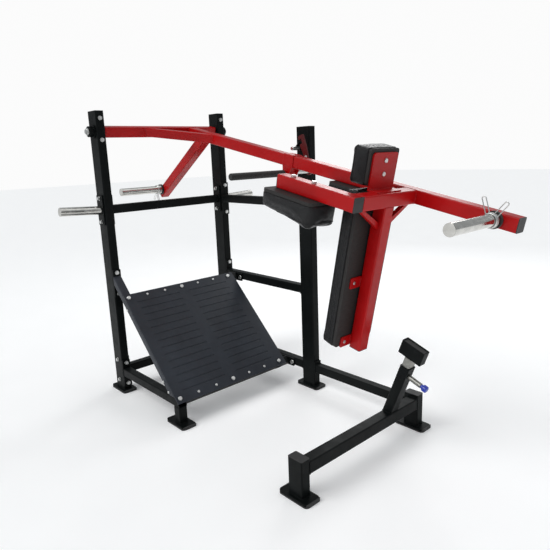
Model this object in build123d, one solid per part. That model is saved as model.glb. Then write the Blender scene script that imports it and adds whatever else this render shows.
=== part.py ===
from build123d import *
import os
from math import atan2, cos, degrees, hypot, radians, sin

# Lever squat machine, plate loaded. Millimetres, +Z up.
# Working frame: X runs from the pivot end to the stop end, with 0 at the front face of the
# pivot posts. Y runs across, with 0 at the near side of the frame. Z is 0 at the floor.
# Every part is moved to the middle of the overall box when it is written.

# ---- overall frame
FRAME_Y = 890.0
POST_X = 100.0
POST_Y = 50.0
POST_TOP = 1685.0
MID_POST_X = 733.0
MID_POST_TOP = 1555.0
REAR_X = 1475.0
REAR_SIZE_X = 82.0
REAR_TOP = 185.0
TUBE = 50.0
WALL = 3.0
CORNER = 6.0
CAP = 3.0
PLUG = 14.0
FLANGE = 8.0
FLANGE_WIDTH = 50.0
RAIL_Z = 103.0
RAIL_FLANGE_Z = 120.0
LEG_X = 581.0
LEG_SIZE_X = 55.0
HIGH_Z = 1128.0
MID_Z = 612.0
REAR_BEAM = 60.0
REAR_BEAM_X = 1497.0
REAR_BEAM_Z = 108.0
ORIGIN_X = 816.83

# ---- feet
SHOE_X = 170.0
SHOE_Y = 92.0
SHOE_BASE = 6.0
SHOE_LIP = 16.0
PLATE_T = 8.0
FOOT_Z = SHOE_BASE + PLATE_T

# ---- lever, in its own frame: u along the main tube, y across, n square to it
PIVOT_X = -50.0
PIVOT_Z = 1572.0
LEVER_TILT = 11.93
BEAM = 60.0
HALF = BEAM / 2
MAIN_Y = 620.0
LEVER_END = 2200.0
AXLE_NEAR = 58.0
ARM_Y = 210.0
ARM_START = 1320.0
ARM_END = 1752.0
SPINE_Y = 415.0
SPINE_LOW = -690.0
STRUT_ROOT = 155.0
STRUT_ANGLE = 45.0
STRUT_LENGTH = 632.0
BRACE_Y = 350.0
BRACE_U = 262.0
BRACE_WIDTH = 50.0
SHAFT_R = 15.0
RUN_GAP = 0.05
HORN_R = 25.0
STORAGE_TILT = 3.0
STORAGE_LENGTH = 235.0
STORAGE_ROOT = 5.0
STORAGE_ROOT_R = 24.0
HORN_U = 2107.0
HORN_TIP = 291.0
STRUT_HORN_TIP = 309.0
STRUT_HORN_FROM_END = 40.0
STRUT_HORN_RISE = 12.0
HORN_GROOVE = 48.0
GROOVE_WIDTH = 2.0
GROOVE_DEPTH = 0.6
HORN_LID = 2.0
BUMPER_R = 35.0
BUMPER_T = 14.0
COLLAR_R = 31.0
COLLAR_T = 12.0
WIRE_R = 2.2
GRIP_HALF = 8.0
GRIP_REACH = 66.0
GRIP_LEANS = (-42.0, 16.0)
SPRING_GAP = 0.3

# ---- catch
ROD_U = 954.0
ROD_N = -66.0
ROD_R = 10.0
ROD_NEAR = 248.0
HOOK_Y = 790.0
HOOK_T = 10.0
PEG_X = 755.0
PEG_Z = 1437.0
PEG_R = 11.0
PEG_TIP = 785.0
HOOK_OFF = 22.0

# ---- foot plate, in its own frame: p down the slope, y across, q square to it
DECK_X = 113.0
DECK_Z = 639.0
DECK_TILT = 44.7
DECK_LENGTH = 730.0
DECK_Y = 797.0
DECK_T = 5.0
DECK_DEPTH = 45.0
DECK_ROWS = (24.0, 702.0)
DECK_BOLT_Y = (25.0, 388.0, 751.0)
DECK_BEAM = 48.0
STUB_FLANGE = 66.0
RIB_COUNT = 14
RIB_WIDTH = 9.0
RIB_DEPTH = 1.8

# ---- height stop, in its own frame: a across the tube, y across the machine, s up the tube
STOP_X = 1523.4
STOP_Z = 165.2
STOP_TILT = 20.7
STOP_Y = 650.0
STOP_TOP = 277.0
STOP_INNER_X = 40.0
STOP_INNER_Y = 50.0
SADDLE_S = 326.0
SADDLE_H = 68.0
SADDLE_A = 124.0
SADDLE_Y = 46.0
PIN_S = 229.0
PIN_GAP = 0.35
PIN_BARREL = 70.0
PIN_BARREL_R = 12.0
PIN_OUT = 9.0
KNOB_R = 16.5
KNOB_LENGTH = 26.0
RUBBER_SINK = 4.0
HOLE_PITCH = 30.0

# ---- fasteners
BOLT_R = 6.0
BOLT_HOLE = 6.5
BOLT_AF = 19.0
HEAD_T = 7.5
WASHER_R = 12.0
WASHER_T = 2.0
NUT_T = 10.0

LEVER = Pos(PIVOT_X, 0, PIVOT_Z) * Rot(0, LEVER_TILT, 0)
DECK = Pos(DECK_X, 0, DECK_Z) * Rot(0, DECK_TILT, 0)
STOP = Pos(STOP_X, 0, STOP_Z) * Rot(0, STOP_TILT, 0)
FAR_Y = FRAME_Y - POST_Y
MID_Y = FRAME_Y / 2
AXES = {"x": (1, 0, 0), "y": (0, 1, 0), "z": (0, 0, 1)}


# ------------------------------------------------------------------ shared shapes
def block(low, high):
    size = [b - a for a, b in zip(low, high)]
    middle = [(a + b) / 2 for a, b in zip(low, high)]
    return Pos(*middle) * Box(*size)


def section(run, low, high):
    """Plane on the low end of a straight run, and the two sizes across it."""
    middle = [(a + b) / 2 for a, b in zip(low, high)]
    start = "xyz".index(run)
    middle[start] = low[start]
    side = (0, 1, 0) if run != "y" else (1, 0, 0)
    plane = Plane(origin=tuple(middle), x_dir=side, z_dir=AXES[run])
    size = [b - a for a, b in zip(low, high)]
    width = size[1] if run != "y" else size[0]
    other = {"x": size[2], "y": size[2], "z": size[0]}[run]
    return plane, width, other, size[start]


def tube(run, low, high, wall=WALL, corner=CORNER):
    """Rectangular hollow section that fills the box from low to high."""
    plane, width, other, length = section(run, low, high)
    face = RectangleRounded(width, other, corner)
    face -= RectangleRounded(width - 2 * wall, other - 2 * wall, corner - wall)
    return extrude(plane * face, amount=length)


def slab(run, low, high, corner):
    """Solid plate with rounded corners, thin along run."""
    plane, width, other, length = section(run, low, high)
    return extrude(plane * RectangleRounded(width, other, corner), amount=length)


def rod(start, axis, radius, length):
    return extrude(Plane(origin=start, z_dir=axis) * Circle(radius), amount=length)


def ring(start, axis, outer, inner, length):
    face = Circle(outer) - Circle(inner)
    return extrude(Plane(origin=start, z_dir=axis) * face, amount=length)


def profile_xz(face, low_y, high_y):
    """A face drawn in X and Z, made as thick as the given stretch of Y."""
    return extrude(Plane.XZ.offset(-high_y) * face, amount=high_y - low_y)


def end_cap(run, low, high, at_high, wall=WALL, corner=CORNER):
    """Moulded cap: a lid on the end of a tube and a plug inside it."""
    index = "xyz".index(run)
    lid_low, lid_high = list(low), list(high)
    plug_low, plug_high = list(low), list(high)
    if at_high:
        lid_low[index] = high[index] - CAP
        plug_low[index] = high[index] - CAP - PLUG
        plug_high[index] = high[index] - CAP
    else:
        lid_high[index] = low[index] + CAP
        plug_low[index] = low[index] + CAP
        plug_high[index] = low[index] + CAP + PLUG
    lid = slab(run, lid_low, lid_high, corner)
    inset = wall + 0.2
    for k in range(3):
        if k != index:
            plug_low[k] += inset
            plug_high[k] -= inset
    return lid + slab(run, plug_low, plug_high, 2.5)


def step(point, axis, distance):
    return tuple(p + a * distance for p, a in zip(point, axis))


def bolt(seat, axis, grip, end=14.0):
    """Hex head and washer on the seat, shank running along axis."""
    back = tuple(-a for a in axis)
    hexagon = RegularPolygon(BOLT_AF / 2, 6, major_radius=False)
    head_plane = Plane(origin=step(seat, back, WASHER_T), z_dir=back)
    head = extrude(head_plane * hexagon, amount=HEAD_T)
    return head + rod(seat, back, WASHER_R, WASHER_T) + rod(seat, axis, BOLT_R, grip + end)


def nut(seat, axis, grip):
    """Hex nut and washer on the far side of a bolted stack."""
    face = step(seat, axis, grip)
    hexagon = RegularPolygon(BOLT_AF / 2, 6, major_radius=False) - Circle(BOLT_R + 0.1)
    body = extrude(Plane(origin=step(face, axis, WASHER_T), z_dir=axis) * hexagon, amount=NUT_T)
    return body + ring(face, axis, WASHER_R, BOLT_R + 0.1, WASHER_T)


def button(seat, axis, head_r, head_t, shank_r, grip):
    """Low domed screw head on a seat, with its shank."""
    back = tuple(-a for a in axis)
    head = rod(seat, back, head_r, head_t)
    top = head.edges().sort_by(lambda e: sum(c * a for c, a in zip(e.center(), back)))[-1]
    return fillet(top, head_t * 0.6) + rod(seat, axis, shank_r, grip)


def drilled(solid, bolts, radius=BOLT_HOLE):
    for seat, axis, grip in bolts:
        solid -= rod(step(seat, axis, -1), axis, radius, grip + 30)
    return solid


def group(shapes):
    return Compound(children=[solid for shape in shapes for solid in shape.solids()])


# ------------------------------------------------------------------ bolt positions
def front_bolts(y, heights, seat_x=FLANGE, grip=POST_X + FLANGE):
    """Bolts that go in from the front face of a pivot post and right through it."""
    return [((seat_x, y, z), (-1, 0, 0), grip) for z in heights]


def cross_bolts(heights, flange):
    """Bolts from the outside of each pivot post into a cross tube's end plate."""
    x = -POST_X / 2
    grip = flange + POST_Y + FLANGE
    near = [((x, -flange, z), (0, 1, 0), grip) for z in heights]
    far = [((x, FRAME_Y + flange, z), (0, -1, 0), grip) for z in heights]
    return near, far


RAIL_BOLT_Z = (RAIL_FLANGE_Z - 66, RAIL_FLANGE_Z + 66)
SIDE_BOLT_Z = (628.0, 757.0)
MID_BOLT_Z = (MID_Z - 75, MID_Z + 75)
HIGH_BOLT_Z = (HIGH_Z - 90, HIGH_Z + 90)
BEARING_BOLT_Z = (1525.0, 1644.0)
NEAR_FRONT = front_bolts(25.0, RAIL_BOLT_Z + SIDE_BOLT_Z)
NEAR_BARE = front_bolts(25.0, BEARING_BOLT_Z, 0.0, POST_X)
FAR_FRONT = front_bolts(FRAME_Y - 25.0, RAIL_BOLT_Z + MID_BOLT_Z + HIGH_BOLT_Z)
FAR_BARE = front_bolts(FRAME_Y - 25.0, BEARING_BOLT_Z, 0.0, POST_X)
LOW_NEAR, LOW_FAR = cross_bolts((68.0, 199.0), 0.0)
HIGH_NEAR, HIGH_FAR = cross_bolts((HIGH_Z - 68, HIGH_Z + 68), FLANGE)
MID_REAR_X = MID_POST_X + POST_X


# ------------------------------------------------------------------ frame
def post_box(x, y, top):
    return (x, y, FOOT_Z), (x + POST_X, y + POST_Y, top)


def post(x, y, top, bolts):
    low, high = post_box(x, y, top - CAP)
    return drilled(tube("z", low, high), bolts)


def shaft_hole(y):
    return rod((PIVOT_X, y - 5, PIVOT_Z), (0, 1, 0), 21.0, POST_Y + 10)


def pivot_posts():
    near = post(-POST_X, 0, POST_TOP, NEAR_FRONT + NEAR_BARE + LOW_NEAR + HIGH_NEAR)
    far = post(-POST_X, FAR_Y, POST_TOP, FAR_FRONT + FAR_BARE + LOW_FAR + HIGH_FAR)
    return group([near - shaft_hole(0), far - shaft_hole(FAR_Y)])


def middle_post():
    return post(MID_POST_X, FAR_Y, MID_POST_TOP, [])


def rear_box(y, top):
    return (REAR_X, y, FOOT_Z), (REAR_X + REAR_SIZE_X, y + POST_Y, top)


def rear_uprights():
    return group(tube("z", *rear_box(y, REAR_TOP - CAP)) for y in (0, FAR_Y))


def frame_caps():
    """Push-in caps on the posts and rear uprights."""
    spots = ((-POST_X, 0, POST_TOP), (-POST_X, FAR_Y, POST_TOP), (MID_POST_X, FAR_Y, MID_POST_TOP))
    caps = [end_cap("z", *post_box(*spot), at_high=True) for spot in spots]
    caps += [end_cap("z", *rear_box(y, REAR_TOP), at_high=True) for y in (0, FAR_Y)]
    return group(caps)


def cross_tube(z):
    x = -POST_X / 2
    low = (x - TUBE / 2, POST_Y + FLANGE, z - TUBE / 2)
    high = (x + TUBE / 2, FAR_Y - FLANGE, z + TUBE / 2)
    return tube("y", low, high)


def cross_flanges(z, half, bolts):
    x = -POST_X / 2
    plates = []
    for y in (POST_Y, FAR_Y - FLANGE):
        low = (x - 35, y, z - half)
        high = (x + 35, y + FLANGE, z + half)
        plates.append(drilled(slab("y", low, high, 5.0), bolts))
    return plates


def cross_tubes():
    """The two tubes between the pivot posts, and the beam between the rear uprights."""
    low = (REAR_BEAM_X, POST_Y, REAR_BEAM_Z)
    high = (REAR_BEAM_X + REAR_BEAM, FAR_Y, REAR_BEAM_Z + REAR_BEAM)
    return group([cross_tube(RAIL_Z + TUBE / 2), cross_tube(HIGH_Z), tube("y", low, high)])


def long_tube(x0, x1, y, z):
    return tube("x", (x0, y, z - TUBE / 2), (x1, y + POST_Y, z + TUBE / 2))


def under_deck(solid):
    """Trim a member back to the underside of the foot plate."""
    cutter = DECK * block((-600, -50, -DECK_T), (1200, FRAME_Y + 50, 600))
    return solid - cutter


def base_rails():
    """Near rail with its end cut to the foot plate, and the far rail in two lengths."""
    z = RAIL_Z + TUBE / 2
    near = under_deck(long_tube(FLANGE, LEG_X + LEG_SIZE_X, 0, z))
    far = long_tube(FLANGE, MID_POST_X, FAR_Y, z)
    rear = long_tube(MID_REAR_X + FLANGE, REAR_X, FAR_Y, z)
    return group([near, far, rear])


def front_leg():
    return tube("z", (LEG_X, 0, FOOT_Z), (LEG_X + LEG_SIZE_X, POST_Y, RAIL_Z))


def side_tubes():
    return group(long_tube(FLANGE, MID_POST_X, FAR_Y, z) for z in (MID_Z, HIGH_Z))


def post_flange(y, z, half, bolts):
    plate = slab("x", (0, y, z - half), (FLANGE, y + FLANGE_WIDTH, z + half), 4.0)
    return drilled(plate, bolts)


def flange_plates():
    """Every bolted end plate of the frame."""
    plates = cross_flanges(133.5, 85.0, LOW_NEAR + LOW_FAR)
    plates += cross_flanges(HIGH_Z, 87.0, HIGH_NEAR + HIGH_FAR)
    plates += [post_flange(0, z, half, NEAR_FRONT) for z, half in ((RAIL_FLANGE_Z, 84.0), (692.5, 83.0))]
    far = ((RAIL_FLANGE_Z, 84.0), (MID_Z, 92.0), (HIGH_Z, 107.0))
    plates += [post_flange(FAR_Y, z, half, FAR_FRONT) for z, half in far]
    rear = slab("x", (MID_REAR_X, FAR_Y, 92.0), (MID_REAR_X + FLANGE, FRAME_Y, 172.0), 4.0)
    return group(plates + [rear] + storage_flanges() + deck_stub_flanges())


def gussets():
    """Small webs under the tubes welded to the middle post, and the rib over the catch peg."""
    plates = [catch_rib()]
    for z in (RAIL_Z, MID_Z - TUBE / 2):
        outline = Polyline((MID_POST_X, z), (MID_POST_X - 28, z), (MID_POST_X, z - 28), close=True)
        plates.append(profile_xz(make_face(outline), FRAME_Y - 33, FRAME_Y - 27))
    return group(plates)


def foot_places():
    half = POST_X / 2
    rear = REAR_X + REAR_SIZE_X / 2
    leg = LEG_X + LEG_SIZE_X / 2
    near = [(-half, TUBE / 2), (leg, TUBE / 2), (rear, TUBE / 2)]
    far = [(-half, FRAME_Y - 25), (MID_POST_X + half, FRAME_Y - 25), (rear, FRAME_Y - 25)]
    return near + far


def foot_plates():
    plates = []
    for x, y in foot_places():
        low = (x - SHOE_X / 2 + 6, y - SHOE_Y / 2 + 3, SHOE_BASE)
        high = (x + SHOE_X / 2 - 6, y + SHOE_Y / 2 - 3, FOOT_Z)
        plates.append(slab("z", low, high, 14.0))
    return group(plates)


def foot_shoes():
    shoes = []
    for x, y in foot_places():
        low = (x - SHOE_X / 2, y - SHOE_Y / 2, 0)
        high = (x + SHOE_X / 2, y + SHOE_Y / 2, SHOE_LIP)
        shoe = slab("z", low, high, 18.0)
        pocket_low = (x - SHOE_X / 2 + 5.7, y - SHOE_Y, SHOE_BASE)
        pocket_high = (x + SHOE_X / 2 - 5.7, y + SHOE_Y, SHOE_LIP + 1)
        shoes.append(shoe - block(pocket_low, pocket_high))
    return group(shoes)


# ------------------------------------------------------------------ foot plate
def deck_axis():
    tilt = radians(DECK_TILT)
    return (-sin(tilt), 0, -cos(tilt))


def deck_point(p, y, q=0.0):
    tilt = radians(DECK_TILT)
    x = DECK_X + p * cos(tilt) + q * sin(tilt)
    z = DECK_Z - p * sin(tilt) + q * cos(tilt)
    return (x, y, z)


def deck_bolts():
    return [(deck_point(p, y), deck_axis(), 22.0) for p in DECK_ROWS for y in DECK_BOLT_Y]


def deck_screws():
    places = []
    for left, right in zip(DECK_BOLT_Y, DECK_BOLT_Y[1:]):
        third = (right - left) / 3
        places += [left + third, left + 2 * third]
    return [(deck_point(p, y), deck_axis(), 16.0) for p in DECK_ROWS for y in places]


def deck_plate():
    plate = block((0, 0, -DECK_T), (DECK_LENGTH, DECK_Y, 0))
    gap = DECK_LENGTH - 130.0
    pitch = gap / (RIB_COUNT - 1)
    middles = (206.5, 569.5)
    length = 288.0
    for k in range(RIB_COUNT):
        for y in middles:
            plane = Plane(origin=(70 + k * pitch - 5, y, -RIB_DEPTH), x_dir=(0, 1, 0), z_dir=(0, 0, 1))
            plate -= extrude(plane * SlotOverall(length, RIB_WIDTH), amount=RIB_DEPTH + 1)
    plate = DECK * plate
    return drilled(drilled(plate, deck_bolts()), deck_screws(), 4.5)


def deck_side_tubes():
    """Tubes down both sides of the foot plate; the near one starts at the post's flange."""
    near = DECK * tube("x", (-170, 0, -DECK_DEPTH), (DECK_LENGTH, TUBE, -DECK_T))
    near -= block((-300, -10, 0), (FLANGE, TUBE + 10, 1200))
    near -= block((-300, -10, -200), (1200, TUBE + 10, RAIL_Z + TUBE))
    near = drilled(drilled(near, deck_bolts()), deck_side_screws(), 4.5)
    low = (0, DECK_BOLT_Y[2] - TUBE / 2, -DECK_DEPTH)
    high = (DECK_LENGTH, DECK_BOLT_Y[2] + TUBE / 2, -DECK_T)
    return group([near, drilled(DECK * tube("x", low, high), deck_bolts())])


def deck_side_screws():
    spots = ((85.0, -34.0), (570.0, -34.0), (636.0, -34.0))
    return [(deck_point(p, 0.0, q), (0, 1, 0), 12.0) for p, q in spots]


def deck_beam_spans():
    return ((0.0, DECK_BEAM), (DECK_LENGTH - DECK_BEAM, DECK_LENGTH))


def deck_beams():
    """Tubes under both ends of the foot plate, and their stubs out to the far rails."""
    beams = []
    far = DECK_BOLT_Y[2]
    for p0, p1 in deck_beam_spans():
        for y0, y1 in ((TUBE, far - TUBE / 2), (far + TUBE / 2, FAR_Y - FLANGE)):
            beam = DECK * tube("y", (p0, y0, -DECK_DEPTH), (p1, y1, -DECK_T))
            beams.append(drilled(drilled(beam, deck_bolts()), deck_screws(), 4.5))
    return group(beams)


def deck_stub_places():
    half = (DECK_DEPTH + DECK_T) / 2
    return [deck_point((p0 + p1) / 2, 0, -half) for p0, p1 in deck_beam_spans()]


def deck_stub_flanges():
    plates = []
    for x, _, z in deck_stub_places():
        low = (x - STUB_FLANGE, FAR_Y - FLANGE, z - 26)
        high = (x + STUB_FLANGE, FAR_Y, z + 26)
        plates.append(drilled(slab("y", low, high, 5.0), stub_bolts()))
    return plates


def stub_bolts():
    offset = STUB_FLANGE - 14
    return [
        ((x + side * offset, FAR_Y - FLANGE, z), (0, 1, 0), FLANGE)
        for x, _, z in deck_stub_places()
        for side in (-1, 1)
    ]


# ------------------------------------------------------------------ pivot and storage horns
def bearing_housings():
    housings = []
    for y, out in ((0.0, -1), (FRAME_Y, 1)):
        flange = ring((PIVOT_X, y, PIVOT_Z), (0, out, 0), 38.0, SHAFT_R + RUN_GAP, 6.0)
        boss = ring((PIVOT_X, y + out * 6, PIVOT_Z), (0, out, 0), 30.0, SHAFT_R + RUN_GAP, 24.0)
        spigot = ring((PIVOT_X, y, PIVOT_Z), (0, -out, 0), 21.0, SHAFT_R + RUN_GAP, POST_Y)
        housings.append(flange + boss + spigot)
    return group(housings)


def axle_stubs():
    """Turned stubs pressed in the ends of the axle tube and running in the housings."""
    size = HALF - WALL - 0.1
    inner = FRAME_Y - AXLE_NEAR
    stubs = []
    for tip, face, out in ((-34.0, AXLE_NEAR, 1), (FRAME_Y + 34.0, inner, -1)):
        ends = sorted((face, face + out * 30))
        plug = LEVER * slab("y", (-size, ends[0], -size), (size, ends[1], size), 3.5)
        stubs.append(plug + rod((PIVOT_X, tip, PIVOT_Z), (0, out, 0), SHAFT_R, abs(face - tip) + 1))
    return group(stubs)


def pivot_bolts():
    screws = []
    for y, out in ((-34.0, -1), (FRAME_Y + 34.0, 1)):
        washer = rod((PIVOT_X, y, PIVOT_Z), (0, out, 0), 21.0, 3.0)
        hexagon = RegularPolygon(12.0, 6, major_radius=False)
        plane = Plane(origin=(PIVOT_X, y + out * 3, PIVOT_Z), z_dir=(0, out, 0))
        screws.append(washer + extrude(plane * hexagon, amount=9.0))
    return group(screws)


def storage_axis(out):
    tilt = radians(STORAGE_TILT)
    return (0, out * cos(tilt), sin(tilt))


def storage_ends():
    return ((-FLANGE, -1), (FRAME_Y + FLANGE, 1))


def storage_horns():
    """Plate horns on the pivot posts, each with a slightly slimmer root at its flange."""
    horns = []
    for y, out in storage_ends():
        axis = storage_axis(out)
        base = (PIVOT_X, y, HIGH_Z)
        body = ring(step(base, axis, STORAGE_ROOT), axis, HORN_R, HORN_R - 4, STORAGE_LENGTH - STORAGE_ROOT)
        body += ring(step(base, axis, -4.0), axis, STORAGE_ROOT_R, HORN_R - 4, STORAGE_ROOT + 4)
        edge = sorted((y, y - out * 30))
        horns.append(body - block((-200, edge[0], 900), (100, edge[1], 1300)))
    return group(horns + storage_caps())


def storage_flanges():
    plates = []
    for y in (-FLANGE, FRAME_Y):
        low = (PIVOT_X - 35, y, HIGH_Z - 87)
        high = (PIVOT_X + 35, y + FLANGE, HIGH_Z + 87)
        plates.append(drilled(slab("y", low, high, 5.0), HIGH_NEAR + HIGH_FAR))
    return plates


def plug_cap(tip, out):
    """Round plated plug in the open end of a horn, with a thin lid."""
    back = tuple(-a for a in out)
    return rod(tip, out, HORN_R - 0.5, HORN_LID) + rod(tip, back, HORN_R - 4.2, 12.0)


def storage_caps():
    caps = []
    for y, out in storage_ends():
        axis = storage_axis(out)
        caps.append(plug_cap(step((PIVOT_X, y, HIGH_Z), axis, STORAGE_LENGTH), axis))
    return caps


# ------------------------------------------------------------------ lever
def lever_axle():
    return LEVER * tube("y", (-HALF, AXLE_NEAR, -HALF), (HALF, FRAME_Y - AXLE_NEAR, HALF))


def lever_tube():
    body = tube("x", (HALF, MAIN_Y, -HALF), (LEVER_END - CAP, MAIN_Y + BEAM, HALF))
    return drilled(LEVER * body, shoulder_bolt_places())


def strut_frame():
    """Frame of the strut: its length runs from the main tube down and back."""
    return LEVER * Pos(STRUT_ROOT, 0, -HALF) * Rot(0, 180 - STRUT_ANGLE, 0)


def lever_strut():
    body = strut_frame() * tube("x", (-80, MAIN_Y, -HALF), (STRUT_LENGTH - CAP, MAIN_Y + BEAM, HALF))
    return body - LEVER * block((-200, 500, -HALF), (600, 800, 200))


def lever_brace():
    rise = MAIN_Y - BRACE_Y
    run = BRACE_U - HALF
    angle = degrees(atan2(rise, run))
    length = hypot(rise, run)
    half = BRACE_WIDTH / 2
    body = tube("x", (-60, -half, -half), (length + 60, half, half))
    body = Pos(HALF, BRACE_Y, 0) * Rot(0, 0, angle) * body
    body -= block((-200, 0, -100), (HALF, 900, 100))
    return LEVER * (body - block((-200, MAIN_Y, -100), (600, 900, 100)))


def side_arm():
    body = tube("x", (ARM_START + CAP, ARM_Y, -HALF), (ARM_END - CAP, ARM_Y + BEAM, HALF))
    return drilled(LEVER * body, shoulder_bolt_places())


def arm_bridge():
    low = (ARM_END - BEAM, ARM_Y + BEAM, -HALF)
    return LEVER * tube("y", low, (ARM_END, MAIN_Y, HALF))


def back_spine():
    low = (ARM_END - BEAM, SPINE_Y, SPINE_LOW + CAP)
    body = tube("z", low, (ARM_END, SPINE_Y + BEAM, -HALF))
    return LEVER * body


def spine_braces():
    """Flat bars from the bridge tube down to the back spine, one on each side."""
    bars = []
    for top_y, low_y in ((MAIN_Y - 4, SPINE_Y + BEAM), (ARM_Y + BEAM + 4, SPINE_Y)):
        side = -1 if top_y > low_y else 1
        points = (
            (top_y, -HALF),
            (top_y + side * 26, -HALF),
            (low_y, -HALF - 66),
            (low_y, -HALF - 92),
        )
        face = make_face(Polyline(*points, close=True))
        plane = Plane(origin=(ARM_END - HALF - 10, 0, 0), x_dir=(0, 1, 0), z_dir=(1, 0, 0))
        bars.append(LEVER * extrude(plane * face, amount=20.0))
    return group(bars)


def lever_caps():
    main = end_cap("x", (0, MAIN_Y, -HALF), (LEVER_END, MAIN_Y + BEAM, HALF), True)
    arm_low = (ARM_START, ARM_Y, -HALF)
    arm_high = (ARM_END, ARM_Y + BEAM, HALF)
    front = end_cap("x", arm_low, arm_high, False)
    back = end_cap("x", arm_low, arm_high, True)
    spine_box = (ARM_END - BEAM, SPINE_Y, SPINE_LOW), (ARM_END, SPINE_Y + BEAM, 0)
    spine = end_cap("z", *spine_box, False)
    strut_box = (0, MAIN_Y, -HALF), (STRUT_LENGTH, MAIN_Y + BEAM, HALF)
    strut = strut_frame() * end_cap("x", *strut_box, True)
    return group([LEVER * main, LEVER * front, LEVER * back, LEVER * spine, strut])


# ------------------------------------------------------------------ pads
PAD_FACE = ARM_END - BEAM
PLATE_U = 5.0
BOARD = 15.0
BACK_Y = (310.0, 580.0)
BACK_N = (-680.0, 34.0)
HEAD_Y = (345.0, 545.0)
HEAD_N = (45.0, 203.0)
HEAD_THICK = 84.0
SHOULDER_U = (1288.0, 1588.0)
SHOULDER_Y = ((150.0, 324.0), (566.0, 740.0))
SHOULDER_DEPTH = (106.0, 144.0)
SHOULDER_BOARD = 14.0
HEAD_PLATE = 8.0
BACK_PLATE_N = (-370.0, -654.0)


def lever_axis(along=1):
    tilt = radians(LEVER_TILT)
    return (-sin(tilt) * along, 0, -cos(tilt) * along)


def lever_point(u, y, n):
    tilt = radians(LEVER_TILT)
    x = PIVOT_X + u * cos(tilt) + n * sin(tilt)
    z = PIVOT_Z - u * sin(tilt) + n * cos(tilt)
    return (x, y, z)


def shoulder_bolt_places():
    places = [(u, y) for y in (ARM_Y + HALF, MAIN_Y + HALF) for u in (1390.0, 1510.0)]
    return [(lever_point(u, y, HALF), lever_axis(), BEAM) for u, y in places]


def lever_back():
    """Direction from behind the pads towards the user."""
    tilt = radians(LEVER_TILT)
    return (-cos(tilt), 0, sin(tilt))


def back_screw_places():
    spots = [(y, n) for n in BACK_PLATE_N for y in (375.0, 515.0)]
    return [(lever_point(PAD_FACE, y, n), lever_back(), PLATE_U) for y, n in spots]


def head_screw_places():
    return [(lever_point(PAD_FACE, MID_Y, n), lever_back(), HEAD_PLATE) for n in (95.0, 150.0)]


def head_plate():
    """Upright plate behind the head pad with a foot on the bridge tube."""
    front = PAD_FACE - HEAD_PLATE
    plate = slab("x", (front, 365, HALF), (PAD_FACE, 525, 182), 14.0)
    plate += block((front, 365, HALF), (PAD_FACE, 525, HALF + 30))
    plate += block((front, 365, HALF), (PAD_FACE + 45, 525, HALF + 5))
    return drilled(LEVER * plate, head_screw_places(), 4.5)


def pad_boards():
    """Plywood backs of the head, back and shoulder pads."""
    low = (PAD_FACE - HEAD_PLATE - 12, HEAD_Y[0] + 8, HEAD_N[0] + 6)
    high = (PAD_FACE - HEAD_PLATE, HEAD_Y[1] - 8, HEAD_N[1] - 6)
    boards = [drilled(LEVER * slab("x", low, high, 12.0), head_screw_places(), 4.5)]
    low = (PAD_FACE - PLATE_U - BOARD, BACK_Y[0] + 8, BACK_N[0] + 8)
    high = (PAD_FACE - PLATE_U, BACK_Y[1] - 8, HALF - 5)
    boards.append(drilled(LEVER * slab("x", low, high, 14.0), back_screw_places(), 4.5))
    for y0, y1 in SHOULDER_Y:
        low = (SHOULDER_U[0] + 6, y0 + 6, -HALF - SHOULDER_BOARD)
        high = (SHOULDER_U[1] - 6, y1 - 6, -HALF)
        boards.append(drilled(LEVER * slab("z", low, high, 18.0), shoulder_bolt_places()))
    return group(boards)


def soft_pad(low, high, corner, edge):
    """Plain padded block with rounded outline and softened front edges."""
    body = block(low, high)
    body = fillet(body.edges().filter_by(Axis.X), corner)
    return fillet(body.faces().sort_by(Axis.X)[0].edges(), edge)


def head_pad():
    low = (PAD_FACE - 20.3 - HEAD_THICK, HEAD_Y[0], HEAD_N[0])
    high = (PAD_FACE - 20.3, HEAD_Y[1], HEAD_N[1])
    return LEVER * soft_pad(low, high, 18.0, 16.0)


def back_plates():
    plates = []
    for n in BACK_PLATE_N:
        low = (PAD_FACE - PLATE_U, 350, n - 25)
        plate = LEVER * slab("x", low, (PAD_FACE, 540, n + 25), 8.0)
        plates.append(drilled(plate, back_screw_places(), 4.5))
    return group(plates)


def back_pad():
    top = PAD_FACE - PLATE_U - BOARD - 0.3
    low = (top - 72, BACK_Y[0], BACK_N[0])
    high = (top, BACK_Y[1], BACK_N[1])
    return LEVER * soft_pad(low, high, 24.0, 20.0)


def pad_screws():
    screws = [button(seat, axis, 8.0, 4.0, 4.0, grip + 8) for seat, axis, grip in back_screw_places()]
    screws += [button(seat, axis, 10.0, 5.0, 4.0, grip + 8) for seat, axis, grip in head_screw_places()]
    return group(screws)


def shoulder_pad(y0, y1):
    """Wedge pad: thin at the front end, thick at the back, rounded all round."""
    top = -HALF - SHOULDER_BOARD - 0.3
    outline = Polyline(
        (SHOULDER_U[0], top),
        (SHOULDER_U[1], top),
        (SHOULDER_U[1], -SHOULDER_DEPTH[1]),
        (SHOULDER_U[0], -SHOULDER_DEPTH[0]),
        close=True,
    )
    body = profile_xz(make_face(outline), y0, y1)
    upright = body.edges().filter_by(Axis.Z)
    body = fillet(upright, 24.0)
    lowest = body.faces().sort_by(Axis.Z)[0]
    return LEVER * fillet(lowest.edges(), 14.0)


def shoulder_pad_near():
    return shoulder_pad(*SHOULDER_Y[0])


def shoulder_pad_far():
    return shoulder_pad(*SHOULDER_Y[1])


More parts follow.
